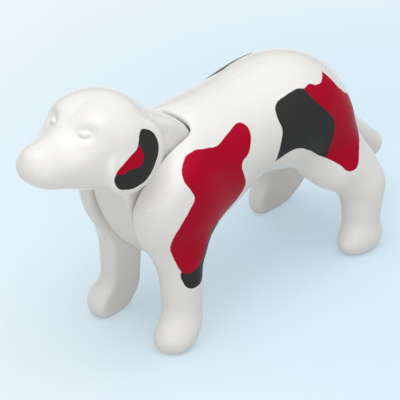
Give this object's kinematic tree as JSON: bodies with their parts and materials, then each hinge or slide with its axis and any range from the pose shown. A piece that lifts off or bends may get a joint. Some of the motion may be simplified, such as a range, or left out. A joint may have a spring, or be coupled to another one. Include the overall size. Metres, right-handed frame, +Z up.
{
  "type": "toy hunting dog",
  "caption": "Standing toy hunting dog: a hollow body split along its middle clasps a head and neck that nod on a moulded cross pin.",
  "frame": {"origin": "on the ground, in the middle of the dog's length and width", "axes": "+Z up, +X to the dog's left side, +Y towards its tail, so that the nose points along -Y"},
  "size_m": [0.0228, 0.068, 0.0377],
  "materials": {
    "white_plastic": "glossy moulded white plastic with red and black printed coat patches"
  },
  "bodies": {
    "trunk": {"body_left_half": "white_plastic", "body_right_half": "white_plastic"},
    "head": {"head": "white_plastic"}
  },
  "joints": [
    {"name": "head_nod", "type": "hinge", "parent": "trunk", "child": "head", "pos_m": [0, -0.0064, 0.0205], "axis": [1, 0, 0], "range_deg": [-2, 15]}
  ]
}
